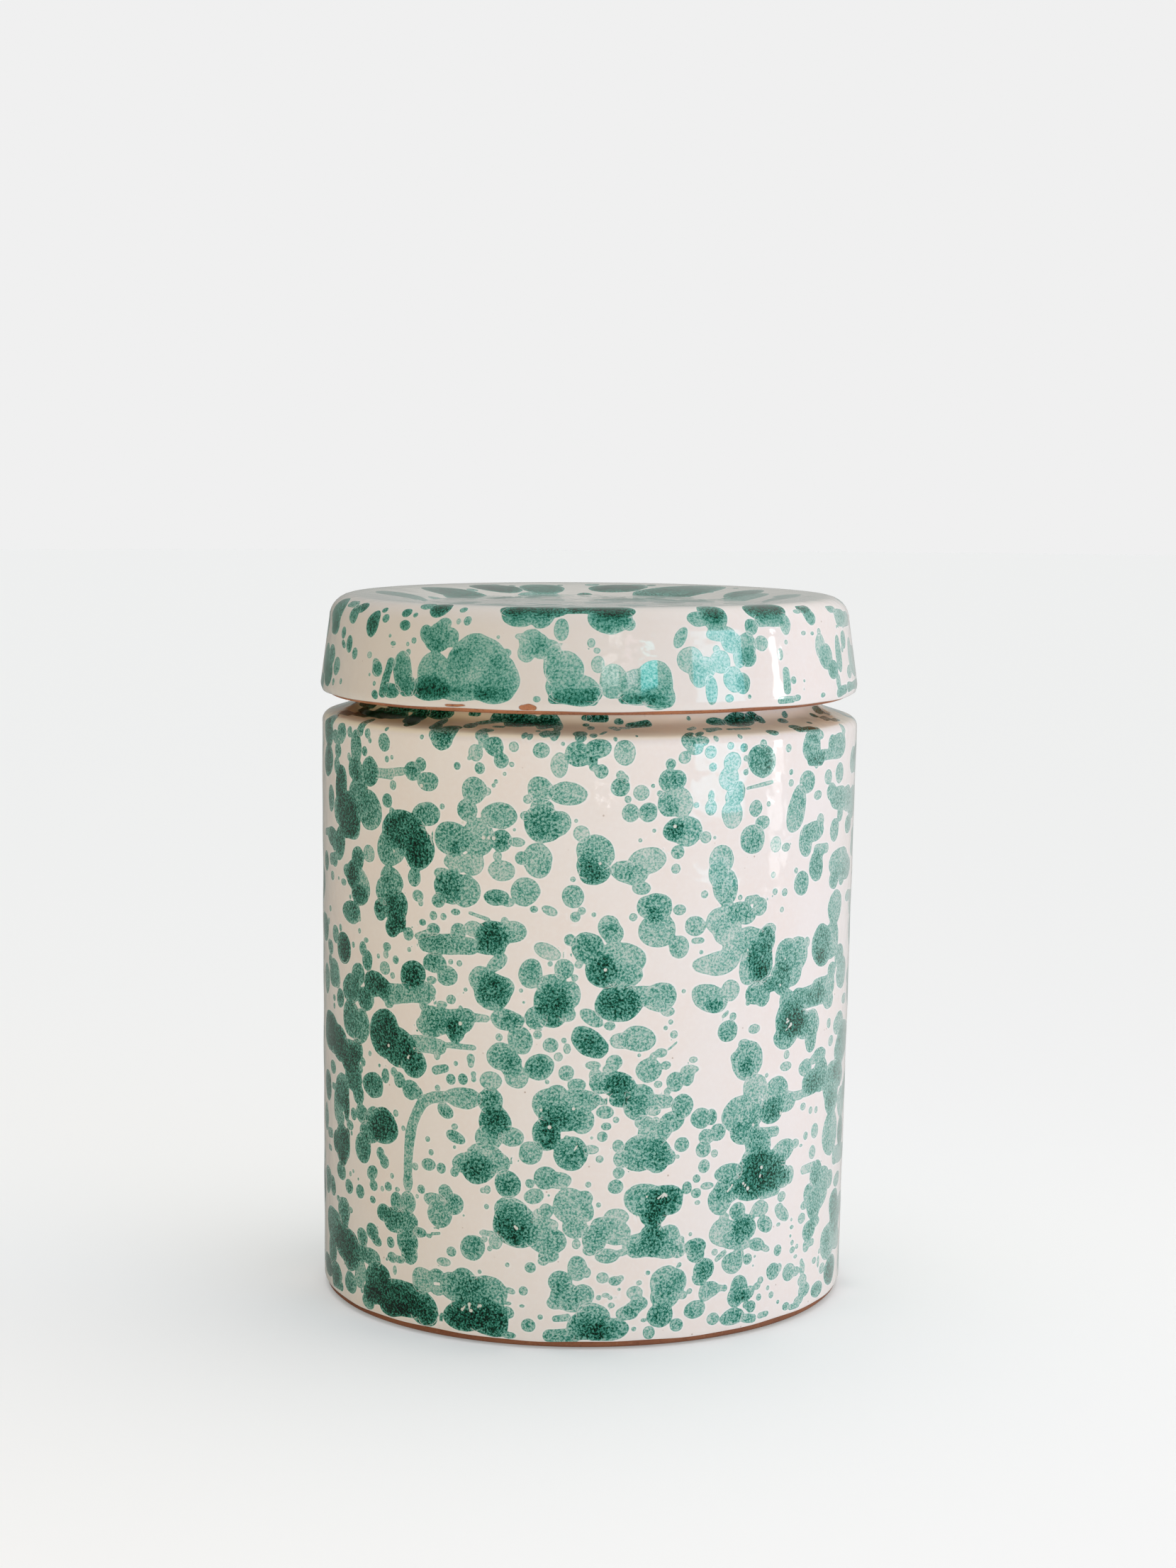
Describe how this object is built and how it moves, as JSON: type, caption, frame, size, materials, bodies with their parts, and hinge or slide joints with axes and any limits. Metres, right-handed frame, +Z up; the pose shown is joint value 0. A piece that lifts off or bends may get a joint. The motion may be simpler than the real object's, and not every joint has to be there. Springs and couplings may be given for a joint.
{
  "type": "lidded jar",
  "caption": "Round glazed earthenware storage jar with straight, slightly tapered walls, a bare foot and a low dished lid that lifts off.",
  "frame": {"origin": "centre of the foot, on the surface that the jar stands on", "axes": "+Z up along the jar's axis, which the lid lifts along; the jar is round, so +X and +Y are any two directions square to it"},
  "size_m": [0.1406, 0.1406, 0.1825],
  "materials": {
    "terracotta": "bare fired clay, matt",
    "splashed_glaze": "glossy cream glaze splashed with green",
    "cream_glaze": "glossy cream glaze"
  },
  "bodies": {
    "jar": {"jar_body": "terracotta", "jar_glaze": "splashed_glaze"},
    "lid": {"lid_body": "terracotta", "lid_glaze": "splashed_glaze", "lid_inside_glaze": "cream_glaze"}
  },
  "joints": [
    {"name": "lid_lift", "type": "slide", "parent": "jar", "child": "lid", "axis": [0, 0, 1], "range_m": [0, 0.06]}
  ]
}
